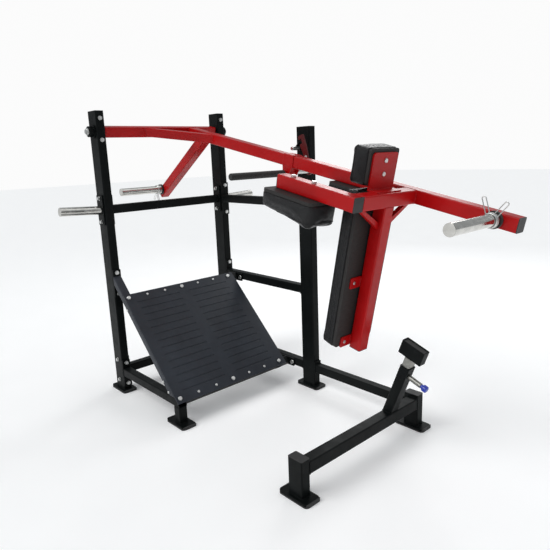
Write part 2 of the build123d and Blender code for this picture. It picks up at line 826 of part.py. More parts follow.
# ------------------------------------------------------------------ weight horns
def strut_horn_point():
    swing = radians(STRUT_ANGLE - LEVER_TILT)
    along = STRUT_LENGTH - STRUT_HORN_FROM_END
    root = lever_point(STRUT_ROOT, 0, -HALF)
    axis_point = step(root, (-cos(swing), 0, -sin(swing)), along)
    return step(axis_point, (-sin(swing), 0, cos(swing)), STRUT_HORN_RISE)


def horn_points():
    return [(lever_point(HORN_U, 0, 0), HORN_TIP), (strut_horn_point(), STRUT_HORN_TIP)]


def weight_horns():
    """Plate horns on the lever, with a turned line groove outboard of the collars."""
    horns = []
    for (x, _, z), tip in horn_points():
        body = ring((x, MAIN_Y, z), (0, -1, 0), HORN_R, HORN_R - 4, MAIN_Y - tip - HORN_LID)
        groove_y = MAIN_Y - HORN_GROOVE
        groove = ring((x, groove_y, z), (0, -1, 0), HORN_R + 1, HORN_R - GROOVE_DEPTH, GROOVE_WIDTH)
        horns.append(body - groove)
        horns.append(plug_cap((x, tip + HORN_LID, z), (0, -1, 0)))
    return group(horns)


def bumper_discs():
    return group(
        ring((x, MAIN_Y, z), (0, -1, 0), BUMPER_R, HORN_R, BUMPER_T) for (x, _, z), _ in horn_points()
    )


def horn_collars():
    start = MAIN_Y - BUMPER_T
    return group(
        ring((x, start, z), (0, -1, 0), COLLAR_R, HORN_R, COLLAR_T) for (x, _, z), _ in horn_points()
    )


def spring_collar(which, up):
    """Sprung wire clip on a horn: a close coil and two looped finger grips."""
    (x, _, z), _ = horn_points()[which]
    coil_r = HORN_R + SPRING_GAP + WIRE_R
    start = MAIN_Y - BUMPER_T - COLLAR_T - WIRE_R - 1.0
    pitch = 2 * WIRE_R - 0.3
    turns = [Pos(x, start - k * pitch, z) * Rot(90, 0, 0) * Torus(coil_r, WIRE_R) for k in range(4)]
    clip = turns[0] + turns[1:]
    for k, lean in zip((0, 3), GRIP_LEANS):
        clip += finger_loop(coil_r, start - k * pitch, x, z, 90 * up + lean)
    return clip


def finger_loop(coil_r, y, x, z, angle):
    half = GRIP_HALF
    reach = GRIP_REACH
    path = FilletPolyline(
        (coil_r - 0.5, -half, 0),
        (coil_r + reach, -half, 0),
        (coil_r + reach, half, 0),
        (coil_r - 0.5, half, 0),
        radius=6.5,
    )
    section_plane = Plane(origin=path @ 0, z_dir=path % 0)
    loop = sweep(section_plane * Circle(WIRE_R - 0.2), path=path)
    return Pos(x, y, z) * Rot(90, 0, 0) * Rot(0, 0, angle) * loop


def spring_collar_lever():
    return spring_collar(0, 1)


def spring_collar_strut():
    return spring_collar(1, -1)


# ------------------------------------------------------------------ catch
def rod_centre():
    return lever_point(ROD_U, 0, ROD_N)


def handle_bracket():
    """Sleeve welded round the main tube, with a bearing tube hung under it by a web."""
    low = (926, MAIN_Y - 4, -HALF - 4)
    high = (997, MAIN_Y + BEAM + 4, HALF + 4)
    sleeve = slab("x", low, high, 8.0)
    sleeve -= block((900, MAIN_Y, -HALF), (1020, MAIN_Y + BEAM, HALF))
    web = block((ROD_U - 14, MAIN_Y - 4, ROD_N), (ROD_U + 14, MAIN_Y + BEAM + 4, -HALF - 4))
    outline = Polyline((926, -HALF), (997, -HALF), (ROD_U + 19, ROD_N - 10), (ROD_U - 19, ROD_N - 10), close=True)
    for y in (MAIN_Y - 4, MAIN_Y + BEAM):
        web += profile_xz(make_face(outline), y, y + 4)
    bearing = rod((ROD_U, MAIN_Y - 12, ROD_N), (0, 1, 0), 17.0, BEAM + 24)
    bore = rod((ROD_U, MAIN_Y - 20, ROD_N), (0, 1, 0), ROD_R + RUN_GAP, BEAM + 40)
    return LEVER * (sleeve + web + bearing - bore)


def catch_rod():
    x, _, z = rod_centre()
    return rod((x, ROD_NEAR + 4, z), (0, 1, 0), ROD_R, HOOK_Y - ROD_NEAR - 4)


def handle_grip():
    x, _, z = rod_centre()
    body = rod((x, ROD_NEAR, z), (0, 1, 0), 17.5, 352.0)
    body -= rod((x, ROD_NEAR + 4, z), (0, 1, 0), ROD_R, 400.0)
    return fillet(body.edges().filter_by(GeomType.CIRCLE).group_by(Axis.Y)[0], 6.0)


def hook_reach():
    x, _, z = rod_centre()
    return hypot(PEG_X - x, PEG_Z - z), degrees(atan2(PEG_Z - z, PEG_X - x))


def hook_place():
    x, _, z = rod_centre()
    return Pos(x, 0, z) * Rot(0, HOOK_OFF - hook_reach()[1], 0)


def hook_arm():
    """Latch plate: a bar from the rod to an open jaw that drops over the peg."""
    reach = hook_reach()[0]
    jaw = PEG_R + 2.5
    outline = Polyline(
        (0, -17),
        (reach - 34, -34),
        (reach + jaw + 16, -34),
        (reach + jaw + 19, -14),
        (reach + jaw + 16, 7),
        (reach + jaw, 7),
        (reach + jaw, -PEG_R - 2),
        (reach - jaw, -PEG_R - 2),
        (reach - jaw, 7),
        (reach - jaw - 16, 7),
        (reach - 60, 2),
        (0, 17),
        close=True,
    )
    plate = profile_xz(make_face(outline), HOOK_Y, HOOK_Y + HOOK_T)
    plate += rod((0, HOOK_Y, 0), (0, 1, 0), 20.0, HOOK_T)
    for a in (30.0, 78.0):
        plate -= rod((a, HOOK_Y - 5, -3.0 - a * 0.12), (0, 1, 0), 5.0, 30)
    return hook_place() * plate


def hook_bolts():
    screws = []
    for a in (30.0, 78.0):
        screws.append(hook_place() * button((a, HOOK_Y, -3.0 - a * 0.12), (0, 1, 0), 9.0, 6.0, 4.8, HOOK_T))
    return group(screws)


def catch_peg():
    """Peg on the middle post with a hex bolt head on its end."""
    hexagon = RegularPolygon(8.5, 6, major_radius=False)
    plane = Plane(origin=(PEG_X, PEG_TIP, PEG_Z), z_dir=(0, -1, 0))
    return rod((PEG_X, FAR_Y, PEG_Z), (0, -1, 0), PEG_R, FAR_Y - PEG_TIP) + extrude(plane * hexagon, amount=6.0)


def catch_rib():
    """Rib above the peg, ending short of the hook."""
    outline = Polyline((0, PEG_R - 3), (0, PEG_R + 26), (32, PEG_R - 3), close=True)
    plane = Plane(origin=(PEG_X + 3, FAR_Y, PEG_Z), x_dir=(0, -1, 0), z_dir=(-1, 0, 0))
    rib = extrude(plane * make_face(outline), amount=6.0)
    return rib - rod((PEG_X, FAR_Y + 5, PEG_Z), (0, -1, 0), PEG_R, 90)


def post_buffer():
    x = MID_POST_X + POST_X / 2
    body = rod((x, FAR_Y, 1310.0), (0, -1, 0), 15.0, 13.0)
    return fillet(body.edges().filter_by(GeomType.CIRCLE).group_by(Axis.Y)[0], 6.0)


# ------------------------------------------------------------------ height stop
def stop_socket():
    low = (-25, STOP_Y - 30, -40)
    high = (25, STOP_Y + 30, STOP_TOP)
    body = STOP * tube("z", low, high)
    body -= block((1300, 500, -100), (1800, 800, REAR_BEAM_Z + REAR_BEAM))
    hole = STOP * rod((15, STOP_Y, PIN_S), (1, 0, 0), 11.0, 20)
    return body - hole


def stop_post():
    low = (-STOP_INNER_X / 2, STOP_Y - STOP_INNER_Y / 2, 70)
    high = (STOP_INNER_X / 2, STOP_Y + STOP_INNER_Y / 2, SADDLE_S)
    body = tube("z", low, high, corner=5.0)
    for k in range(-1, 5):
        body -= rod((STOP_INNER_X / 2 - 6, STOP_Y, PIN_S - k * HOLE_PITCH), (1, 0, 0), 5.6, 12)
    return STOP * body


def saddle():
    low = (-SADDLE_A / 2, STOP_Y - SADDLE_Y / 2, SADDLE_S)
    high = (SADDLE_A / 2, STOP_Y + SADDLE_Y / 2, SADDLE_S + SADDLE_H)
    body = slab("z", low, high, 4.0)
    pocket_low = (-SADDLE_A / 2 + 5, STOP_Y - SADDLE_Y / 2 + 5, SADDLE_S + 8)
    pocket_high = (SADDLE_A / 2 - 5, STOP_Y + SADDLE_Y / 2 - 5, SADDLE_S + SADDLE_H + 1)
    return STOP * (body - block(pocket_low, pocket_high))


def saddle_rubber():
    low = (-SADDLE_A / 2 + 5.3, STOP_Y - SADDLE_Y / 2 + 5.3, SADDLE_S + 8)
    high = (SADDLE_A / 2 - 5.3, STOP_Y + SADDLE_Y / 2 - 5.3, SADDLE_S + SADDLE_H - RUBBER_SINK)
    return STOP * slab("z", low, high, 4.0)


def pin_barrel():
    """Long spring barrel of the pull pin, on the back of the socket."""
    body = ring((25, STOP_Y, PIN_S), (1, 0, 0), PIN_BARREL_R, 6.1, PIN_BARREL)
    nose = ring((20.4, STOP_Y, PIN_S), (1, 0, 0), 10.9, 5.6, 4.6)
    return STOP * (body + nose)


def pin_start():
    return STOP_INNER_X / 2 + PIN_GAP


def pin_end():
    return 25 + PIN_BARREL + PIN_OUT


def pull_pin():
    return STOP * rod((pin_start(), STOP_Y, PIN_S), (1, 0, 0), 5.0, pin_end() - pin_start())


def pin_knob():
    start = pin_end()
    profile = rod((start, STOP_Y, PIN_S), (1, 0, 0), KNOB_R, KNOB_LENGTH)
    ends = profile.edges().filter_by(GeomType.CIRCLE)
    knob = fillet(ends, 7.0)
    neck = rod((start - 7, STOP_Y, PIN_S), (1, 0, 0), 10.0, 8.0)
    neck -= rod((start - 8, STOP_Y, PIN_S), (1, 0, 0), 5.0, 8.0)
    return STOP * (knob + neck)


# ------------------------------------------------------------------ fasteners
THROUGH_BOLTS = NEAR_FRONT + NEAR_BARE + FAR_FRONT + FAR_BARE + LOW_NEAR + LOW_FAR + HIGH_NEAR + HIGH_FAR


def frame_bolts():
    through = [bolt(*place) for place in THROUGH_BOLTS]
    return group(through + [bolt(*place, end=-0.5) for place in stub_bolts()])


def frame_nuts():
    return group(nut(*place) for place in THROUGH_BOLTS)


def deck_bolt_set():
    return group(button(seat, axis, 12.0, 7.0, BOLT_R, grip) for seat, axis, grip in deck_bolts())


def deck_screw_set():
    places = deck_screws() + deck_side_screws()
    return group(button(seat, axis, 7.5, 4.0, 4.0, grip) for seat, axis, grip in places)


def shoulder_bolts():
    grip = BEAM + SHOULDER_BOARD - 2
    return group(bolt(seat, axis, grip, end=0.0) for seat, axis, _ in shoulder_bolt_places())


# ------------------------------------------------------------------ the bodies
FRAME = (
    pivot_posts, middle_post, frame_caps, rear_uprights, cross_tubes, base_rails, front_leg,
    side_tubes, flange_plates, gussets, foot_plates, foot_shoes, deck_plate, deck_side_tubes,
    deck_beams, bearing_housings, storage_horns, catch_peg, post_buffer, stop_socket,
    pin_barrel, frame_bolts, frame_nuts, deck_bolt_set, deck_screw_set,
)
LEVER_ARM = (
    lever_axle, axle_stubs, pivot_bolts, lever_tube, lever_strut, lever_brace, side_arm,
    arm_bridge, back_spine, spine_braces, lever_caps, head_plate, head_pad, back_plates,
    back_pad, pad_boards, shoulder_pad_near, shoulder_pad_far, pad_screws, shoulder_bolts,
    weight_horns, bumper_discs, horn_collars, handle_bracket,
)
CATCH = (catch_rod, handle_grip, hook_arm, hook_bolts)
COLLARS = (spring_collar_lever, spring_collar_strut)
STOP_BODY = (stop_post, saddle, saddle_rubber)
PIN = (pull_pin, pin_knob)


def main():
    os.makedirs("parts", exist_ok=True)
    for make in FRAME + LEVER_ARM + CATCH + COLLARS + STOP_BODY + PIN:
        shape = Pos(-ORIGIN_X, -MID_Y, 0) * make()
        export_step(shape, "parts/" + make.__name__ + ".step")


main()
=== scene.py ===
from math import atan2, ceil, cos, pi, radians, sin

import bmesh
import bpy
from mathutils import Matrix, Vector
from mathutils.bvhtree import BVHTree


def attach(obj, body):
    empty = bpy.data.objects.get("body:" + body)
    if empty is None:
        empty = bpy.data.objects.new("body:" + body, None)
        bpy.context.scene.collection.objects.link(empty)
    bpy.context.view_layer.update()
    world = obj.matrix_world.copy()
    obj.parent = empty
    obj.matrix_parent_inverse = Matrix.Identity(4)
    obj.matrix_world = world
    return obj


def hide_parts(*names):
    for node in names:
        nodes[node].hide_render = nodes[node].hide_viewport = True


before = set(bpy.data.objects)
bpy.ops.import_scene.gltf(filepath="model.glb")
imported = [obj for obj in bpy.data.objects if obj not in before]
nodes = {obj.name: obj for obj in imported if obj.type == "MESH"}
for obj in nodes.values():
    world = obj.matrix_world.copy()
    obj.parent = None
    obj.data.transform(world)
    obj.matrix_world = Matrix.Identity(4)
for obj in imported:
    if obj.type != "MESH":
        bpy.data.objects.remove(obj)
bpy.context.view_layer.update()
scene = bpy.context.scene
MM = 0.001


# ------------------------------------------------------------------ places, in millimetres
# Drawing coordinates: X from the pivot posts' front face, Y from the near side, Z from the
# floor. The row frame has its origin at the middle of the bottom of the overall box.
SHIFT = Vector((816.83, 445.0, 0.0))
PIVOT = Vector((-50.0, 0.0, 1572.0))
TILT = radians(11.93)
ALONG = Vector((cos(TILT), 0.0, -sin(TILT)))
ACROSS = Vector((0.0, 1.0, 0.0))
NORMAL = Vector((sin(TILT), 0.0, cos(TILT)))
X, Y, Z = Vector((1, 0, 0)), Vector((0, 1, 0)), Vector((0, 0, 1))


def place(x, y, z):
    """A drawing point in the row frame, in metres."""
    return (Vector((x, y, z)) - SHIFT) * MM


def on_lever(u, y, n):
    """A point given along, across and square to the main tube."""
    return (PIVOT + ALONG * u + ACROSS * y + NORMAL * n - SHIFT) * MM


# ------------------------------------------------------------------ node materials
def new_material(name):
    old = bpy.data.materials.get(name)
    if old:
        old.name = name + "_packed"
    material = bpy.data.materials.new(name)
    material.use_nodes = True
    tree = material.node_tree
    return material, tree, tree.nodes["Principled BSDF"]


def link(tree, source, target):
    tree.links.new(source, target)


def object_space(tree, scale=(1.0, 1.0, 1.0)):
    """Object coordinates in metres, stretched by scale."""
    where = tree.nodes.new("ShaderNodeTexCoord")
    mapping = tree.nodes.new("ShaderNodeMapping")
    mapping.inputs["Scale"].default_value = scale
    link(tree, where.outputs["Object"], mapping.inputs["Vector"])
    return mapping.outputs["Vector"]


def noise(tree, space, scale, detail=4.0, roughness=0.55, distortion=0.0):
    node = tree.nodes.new("ShaderNodeTexNoise")
    node.inputs["Scale"].default_value = scale
    node.inputs["Detail"].default_value = detail
    node.inputs["Roughness"].default_value = roughness
    node.inputs["Distortion"].default_value = distortion
    link(tree, space, node.inputs["Vector"])
    return node.outputs["Fac"]


def ramp(tree, value, stops):
    """Colour ramp through (position, colour) stops."""
    node = tree.nodes.new("ShaderNodeValToRGB")
    elements = node.color_ramp.elements
    while len(elements) < len(stops):
        elements.new(0.5)
    for element, (position, colour) in zip(elements, stops):
        element.position = position
        element.color = (*colour, 1.0)
    link(tree, value, node.inputs["Fac"])
    return node.outputs["Color"]


def map_range(tree, value, low, high, to_low, to_high):
    node = tree.nodes.new("ShaderNodeMapRange")
    for key, number in zip(("From Min", "From Max", "To Min", "To Max"), (low, high, to_low, to_high)):
        node.inputs[key].default_value = number
    link(tree, value, node.inputs["Value"])
    return node.outputs["Result"]


def mix_colour(tree, factor, first, second):
    node = tree.nodes.new("ShaderNodeMix")
    node.data_type = "RGBA"
    link(tree, factor, node.inputs["Factor"])
    for socket, value in ((node.inputs[6], first), (node.inputs[7], second)):
        if isinstance(value, tuple):
            socket.default_value = (*value, 1.0)
        else:
            link(tree, value, socket)
    return node.outputs[2]


def calc(tree, operation, first, second):
    node = tree.nodes.new("ShaderNodeMath")
    node.operation = operation
    for socket, value in zip(node.inputs, (first, second)):
        if isinstance(value, (int, float)):
            socket.default_value = value
        else:
            link(tree, value, socket)
    return node.outputs["Value"]


def bump(tree, height, distance, strength=1.0, below=None):
    node = tree.nodes.new("ShaderNodeBump")
    node.inputs["Distance"].default_value = distance
    node.inputs["Strength"].default_value = strength
    link(tree, height, node.inputs["Height"])
    if below is not None:
        link(tree, below, node.inputs["Normal"])
    return node.outputs["Normal"]


def speckle(tree, space, scale, low, high):
    """Sparse marks: one where a cell noise is above the low value, falling to nothing."""
    return map_range(tree, noise(tree, space, scale, 7.0, 0.7), low, high, 0.0, 1.0)


def edges(tree, radius):
    """Mask of the worn outer edges, from the difference between the rounded and true normal."""
    rounded = tree.nodes.new("ShaderNodeBevel")
    rounded.samples = 4
    rounded.inputs["Radius"].default_value = radius
    geometry = tree.nodes.new("ShaderNodeNewGeometry")
    dot = tree.nodes.new("ShaderNodeVectorMath")
    dot.operation = "DOT_PRODUCT"
    link(tree, rounded.outputs["Normal"], dot.inputs[0])
    link(tree, geometry.outputs["Normal"], dot.inputs[1])
    return map_range(tree, dot.outputs["Value"], 0.995, 0.86, 0.0, 1.0), rounded.outputs["Normal"]


DUST = (0.20, 0.19, 0.18)


def painted(name, dark, light, worn, rough, coat, peel, dusty, specular):
    """Powder coat: orange peel, dust and rub marks, and a lighter line along hard edges."""
    material, tree, shader = new_material(name)
    space = object_space(tree)
    body = ramp(tree, noise(tree, space, 5.0, 6.0), [(0.3, dark), (0.72, light)])
    edge, rounded = edges(tree, 0.0012)
    rubbed = map_range(tree, noise(tree, space, 160.0, 5.0), 0.42, 0.66, 0.0, 0.45)
    ragged = calc(tree, "MULTIPLY", edge, rubbed)
    body = mix_colour(tree, ragged, body, worn)
    dust = calc(tree, "MULTIPLY", speckle(tree, space, 38.0, 0.56, 0.78), dusty)
    link(tree, mix_colour(tree, dust, body, DUST), shader.inputs["Base Color"])
    smudge = noise(tree, space, 22.0, 6.0, 0.62, 0.4)
    gloss = map_range(tree, smudge, 0.3, 0.72, rough[0], rough[1])
    link(tree, gloss, shader.inputs["Roughness"])
    wave = bump(tree, noise(tree, space, 55.0, 2.0), 0.0004, 0.35, rounded)
    link(tree, bump(tree, noise(tree, space, peel, 3.0, 0.5), 0.00012, 0.55, wave), shader.inputs["Normal"])
    shader.inputs["Coat Weight"].default_value = coat
    shader.inputs["Coat Roughness"].default_value = 0.09
    shader.inputs["Specular IOR Level"].default_value = specular
    return material


def metal(name, dark, light, rough, turned, depth):
    """Plated or bare metal, with fine tool marks across one axis and faint clouding."""
    material, tree, shader = new_material(name)
    space = object_space(tree)
    cloud = noise(tree, space, 26.0, 6.0, 0.6, 0.6)
    link(tree, ramp(tree, cloud, [(0.28, dark), (0.7, light)]), shader.inputs["Base Color"])
    marks = noise(tree, object_space(tree, turned), 18.0, 3.0, 0.6)
    fine = calc(tree, "ADD", calc(tree, "MULTIPLY", cloud, 0.6), calc(tree, "MULTIPLY", marks, 0.4))
    link(tree, map_range(tree, fine, 0.34, 0.66, rough[0], rough[1]), shader.inputs["Roughness"])
    link(tree, bump(tree, marks, depth, 0.5), shader.inputs["Normal"])
    shader.inputs["Metallic"].default_value = 1.0
    return material


def moulded(name, dark, light, rough, texture, depth, coat=0.0, sheen=0.0):
    """Moulded rubber or plastic with a fine spark texture and dull, rubbed patches."""
    material, tree, shader = new_material(name)
    space = object_space(tree)
    broad = noise(tree, space, 14.0, 6.0, 0.6)
    body = ramp(tree, broad, [(0.3, dark), (0.7, light)])
    dust = calc(tree, "MULTIPLY", speckle(tree, space, 70.0, 0.55, 0.75), 0.22)
    dusty = tuple(0.05 + c * 0.8 for c in light)
    link(tree, mix_colour(tree, dust, body, dusty), shader.inputs["Base Color"])
    link(tree, map_range(tree, broad, 0.3, 0.7, rough[0], rough[1]), shader.inputs["Roughness"])
    link(tree, bump(tree, noise(tree, space, texture, 3.0, 0.7), depth, 0.7), shader.inputs["Normal"])
    shader.inputs["Coat Weight"].default_value = coat
    shader.inputs["Sheen Weight"].default_value = sheen
    return material


def vinyl_material(name):
    """Black upholstery vinyl: pebbled leather grain with painted shade in its grooves, soft creases and a
    crinkled clear coat.
    """
    material, tree, shader = new_material(name)
    space = object_space(tree)
    cells = tree.nodes.new("ShaderNodeTexVoronoi")
    cells.feature = "DISTANCE_TO_EDGE"
    cells.inputs["Scale"].default_value = 620.0
    cells.inputs["Randomness"].default_value = 1.0
    link(tree, space, cells.inputs["Vector"])
    pebble = map_range(tree, cells.outputs["Distance"], 0.0, 0.22, 0.0, 1.0)
    broad = noise(tree, space, 9.0, 6.0, 0.6, 0.5)
    body = ramp(tree, broad, [(0.3, (0.003, 0.0033, 0.0036)), (0.72, (0.0085, 0.0088, 0.0094))])
    # Painted shade: the grooves between the pebbles are coloured darker than the pebble tops.
    grooves_painted_shade = mix_colour(tree, pebble, (0.004, 0.004, 0.005), body)
    link(tree, grooves_painted_shade, shader.inputs["Base Color"])
    link(tree, map_range(tree, broad, 0.3, 0.7, 0.34, 0.56), shader.inputs["Roughness"])
    crease = noise(tree, object_space(tree, (1.0, 0.55, 0.8)), 30.0, 8.0, 0.66, 1.6)
    soft = bump(tree, crease, 0.0022, 0.5)
    link(tree, bump(tree, pebble, 0.00022, 0.8, soft), shader.inputs["Normal"])
    film = noise(tree, object_space(tree, (1.0, 0.7, 1.0)), 34.0, 6.0, 0.62, 3.2)
    folds = calc(tree, "ABSOLUTE", calc(tree, "SUBTRACT", film, 0.5), 0.0)
    link(tree, bump(tree, folds, 0.016, 1.0), shader.inputs["Coat Normal"])
    shader.inputs["Coat Weight"].default_value = 0.45
    shader.inputs["Coat Roughness"].default_value = 0.12
    shader.inputs["Specular IOR Level"].default_value = 0.12
    return material


def wood_material(name):
    """Dark stained plywood: stretched grain, thin ply lines, dull open pores."""
    material, tree, shader = new_material(name)
    grain = noise(tree, object_space(tree, (9.0, 1.0, 2.0)), 34.0, 8.0, 0.7, 0.8)
    body = ramp(tree, grain, [(0.3, (0.006, 0.0052, 0.005)), (0.7, (0.016, 0.0135, 0.012))])
    plies = tree.nodes.new("ShaderNodeTexWave")
    plies.wave_type = "BANDS"
    plies.bands_direction = "X"
    plies.inputs["Scale"].default_value = 120.0
    plies.inputs["Distortion"].default_value = 1.2
    link(tree, object_space(tree), plies.inputs["Vector"])
    line = map_range(tree, plies.outputs["Fac"], 0.5, 1.0, 0.0, 0.12)
    link(tree, mix_colour(tree, line, body, (0.004, 0.0035, 0.003)), shader.inputs["Base Color"])
    link(tree, map_range(tree, grain, 0.3, 0.7, 0.55, 0.8), shader.inputs["Roughness"])
    link(tree, bump(tree, grain, 0.0004, 0.6), shader.inputs["Normal"])
    return material


BLACK_EDGE = (0.045, 0.048, 0.050)
RED_EDGE = (0.55, 0.06, 0.055)
DECK_EDGE = (0.06, 0.068, 0.08)
# The worn-edge colour of the dark_red finish, darkened along with it as painted shade.
SHADED_RED_EDGE = (0.25, 0.04, 0.04)
finishes = {
    "frame_black": painted(
        "frame_black", dark=(0.0022, 0.0030, 0.0030), light=(0.0062, 0.0080, 0.0082), worn=BLACK_EDGE,
        rough=(0.36, 0.52), coat=0.0, peel=900.0, dusty=0.03, specular=0.09,
    ),
    "lever_red": painted(
        "lever_red", dark=(0.36, 0.0012, 0.0020), light=(0.46, 0.0030, 0.0040), worn=RED_EDGE,
        rough=(0.30, 0.40), coat=0.06, peel=700.0, dusty=0.02, specular=0.20,
    ),
    "deck_blue_black": painted(
        "deck_blue_black", dark=(0.009, 0.012, 0.019), light=(0.019, 0.025, 0.036), worn=DECK_EDGE,
        rough=(0.38, 0.56), coat=0.0, peel=820.0, dusty=0.06, specular=0.36,
    ),
    # dark_red is the lever's red made darker for the red parts that sit in shadow: painted shade.
    "dark_red": painted(
        "dark_red", dark=(0.075, 0.0015, 0.0025), light=(0.13, 0.004, 0.005), worn=SHADED_RED_EDGE,
        rough=(0.28, 0.40), coat=0.15, peel=700.0, dusty=0.03, specular=0.35,
    ),
    "chrome": metal(
        "chrome", dark=(0.50, 0.49, 0.46), light=(0.68, 0.67, 0.64),
        rough=(0.10, 0.24), turned=(1.0, 42.0, 1.0), depth=0.00006,
    ),
    "zinc": metal(
        "zinc", dark=(0.50, 0.51, 0.51), light=(0.72, 0.72, 0.70),
        rough=(0.24, 0.42), turned=(9.0, 9.0, 9.0), depth=0.00010,
    ),
    "bare_steel": metal(
        "bare_steel", dark=(0.20, 0.20, 0.185), light=(0.34, 0.335, 0.31),
        rough=(0.28, 0.46), turned=(2.0, 2.0, 26.0), depth=0.00014,
    ),
    "rubber": moulded(
        "rubber", dark=(0.005, 0.005, 0.005), light=(0.013, 0.013, 0.0125),
        rough=(0.62, 0.86), texture=780.0, depth=0.00025, sheen=0.15,
    ),
    "cap_plastic": moulded(
        "cap_plastic", dark=(0.006, 0.006, 0.0065), light=(0.013, 0.013, 0.0135),
        rough=(0.42, 0.60), texture=1100.0, depth=0.00012,
    ),
    "blue_plastic": moulded(
        "blue_plastic", dark=(0.008, 0.030, 0.34), light=(0.018, 0.058, 0.52),
        rough=(0.22, 0.36), texture=900.0, depth=0.00008, coat=0.3,
    ),
    "vinyl": vinyl_material("vinyl"),
    "plywood": wood_material("plywood"),
}


def dress_cad():
    """Give every CAD node the node material of its own slot."""
    for obj in nodes.values():
        for slot in obj.material_slots:
            key = slot.material.name.split(".")[0].replace("_packed", "")
            slot.material = finishes[key]


dress_cad()


# ------------------------------------------------------------------ mesh helpers
def add_object(name, mesh, slot):
    obj = bpy.data.objects.new(name, mesh)
    scene.collection.objects.link(obj)
    mesh.materials.clear()
    mesh.materials.append(finishes[slot])
    return obj


def shade_smooth(mesh):
    for polygon in mesh.polygons:
        polygon.use_smooth = True


def add_tube(bm, points, normal, radius, sides=8, closed=True):
    """Sweep a ring of the given radius (a number, or one per point) along points."""
    count = len(points)
    rings = []
    for k, point in enumerate(points):
        before = points[k - 1] if closed or k > 0 else points[k]
        after = points[(k + 1) % count] if closed or k < count - 1 else points[k]
        tangent = (after - before).normalized()
        side = tangent.cross(normal).normalized()
        up = side.cross(tangent).normalized()
        size = radius[k] if isinstance(radius, list) else radius
        turn = [2 * pi * s / sides for s in range(sides)]
        rings.append([bm.verts.new(point + (side * cos(a) + up * sin(a)) * size) for a in turn])
    pairs = list(zip(rings, rings[1:]))
    if closed:
        pairs.append((rings[-1], rings[0]))
    for one, two in pairs:
        for s in range(sides):
            t = (s + 1) % sides
            bm.faces.new((one[s], one[t], two[t], two[s]))
    if not closed:
        bm.faces.new(list(reversed(rings[0])))
        bm.faces.new(rings[-1])


def finish_bmesh(bm, name):
    bmesh.ops.recalc_face_normals(bm, faces=bm.faces)
    mesh = bpy.data.meshes.new(name)
    bm.to_mesh(mesh)
    bm.free()
    shade_smooth(mesh)
    return mesh


def rounded_loop(centre, a_axis, b_axis, half_a, half_b, corner, pitch):
    """Evenly stepped points round a rounded rectangle, in metres."""
    corners = ((1, 1, 0), (-1, 1, 90), (-1, -1, 180), (1, -1, 270))
    outline = []
    for sa, sb, start in corners:
        for step in range(7):
            angle = radians(start + 15 * step)
            a = sa * (half_a - corner) + corner * cos(angle)
            b = sb * (half_b - corner) + corner * sin(angle)
            outline.append(centre + a_axis * a + b_axis * b)
    return resample(outline + outline[:1], pitch)[:-1]


def resample(points, pitch):
    """The same line with points one pitch apart, ends kept."""
    lengths = [0.0]
    for one, two in zip(points, points[1:]):
        lengths.append(lengths[-1] + (two - one).length)
    steps = max(8, ceil(lengths[-1] / pitch))
    found, k = [], 0
    for step in range(steps + 1):
        goal = lengths[-1] * step / steps
        while k < len(lengths) - 2 and lengths[k + 1] < goal:
            k += 1
        share = (goal - lengths[k]) / max(lengths[k + 1] - lengths[k], 1e-9)
        found.append(points[k].lerp(points[k + 1], min(max(share, 0.0), 1.0)))
    return found


# ------------------------------------------------------------------ weld beads
# Levels and middles of the frame's tubes, half a tube, and the radius of its corner.
RAIL_Z, MID_Z, HIGH_Z = 128, 612, 1128
NEAR_Y, FAR_Y = 25, 865
HALF_TUBE = 25
TUBE_CORNER = 6
FOOT_TOP = 14
BEAD = 2.6 * MM
RIPPLE = 4.2 * MM
BEAD_STEP = 1.4 * MM


def bead_sizes(points, first=0.0):
    """Radius along a bead: overlapping scales, with a slow swell so no two look alike."""
    sizes, run = [], first
    for one, two in zip(points, points[1:] + points[:1]):
        scale = abs(sin(pi * run / RIPPLE))
        swell = sin(run * 41.0) * 0.06 + sin(run * 113.0) * 0.04
        sizes.append(BEAD * (0.86 + 0.2 * scale + swell))
        run += (two - one).length
    return sizes


def weld_loops(name, body, slot, loops):
    """One piece with every bead of a body: each loop is centre, two axes, half sizes, corner."""
    bm = bmesh.new()
    for k, (centre, a_axis, b_axis, half_a, half_b, corner) in enumerate(loops):
        points = rounded_loop(centre, a_axis, b_axis, half_a * MM, half_b * MM, corner * MM, BEAD_STEP)
        add_tube(bm, points, a_axis.cross(b_axis), bead_sizes(points, k * 0.01))
    piece = add_object(name, finish_bmesh(bm, name), slot)
    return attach(piece, body)


def weld_lines(name, body, slot, lines):
    """Straight beads, each from one point to another, lying against a surface normal."""
    bm = bmesh.new()
    for k, (start, end, normal) in enumerate(lines):
        points = resample([start, end], BEAD_STEP)
        sizes = bead_sizes(points, k * 0.013)
        sizes[0] *= 0.6
        sizes[-1] *= 0.6
        add_tube(bm, points, normal, sizes, closed=False)
    piece = add_object(name, finish_bmesh(bm, name), slot)
    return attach(piece, body)


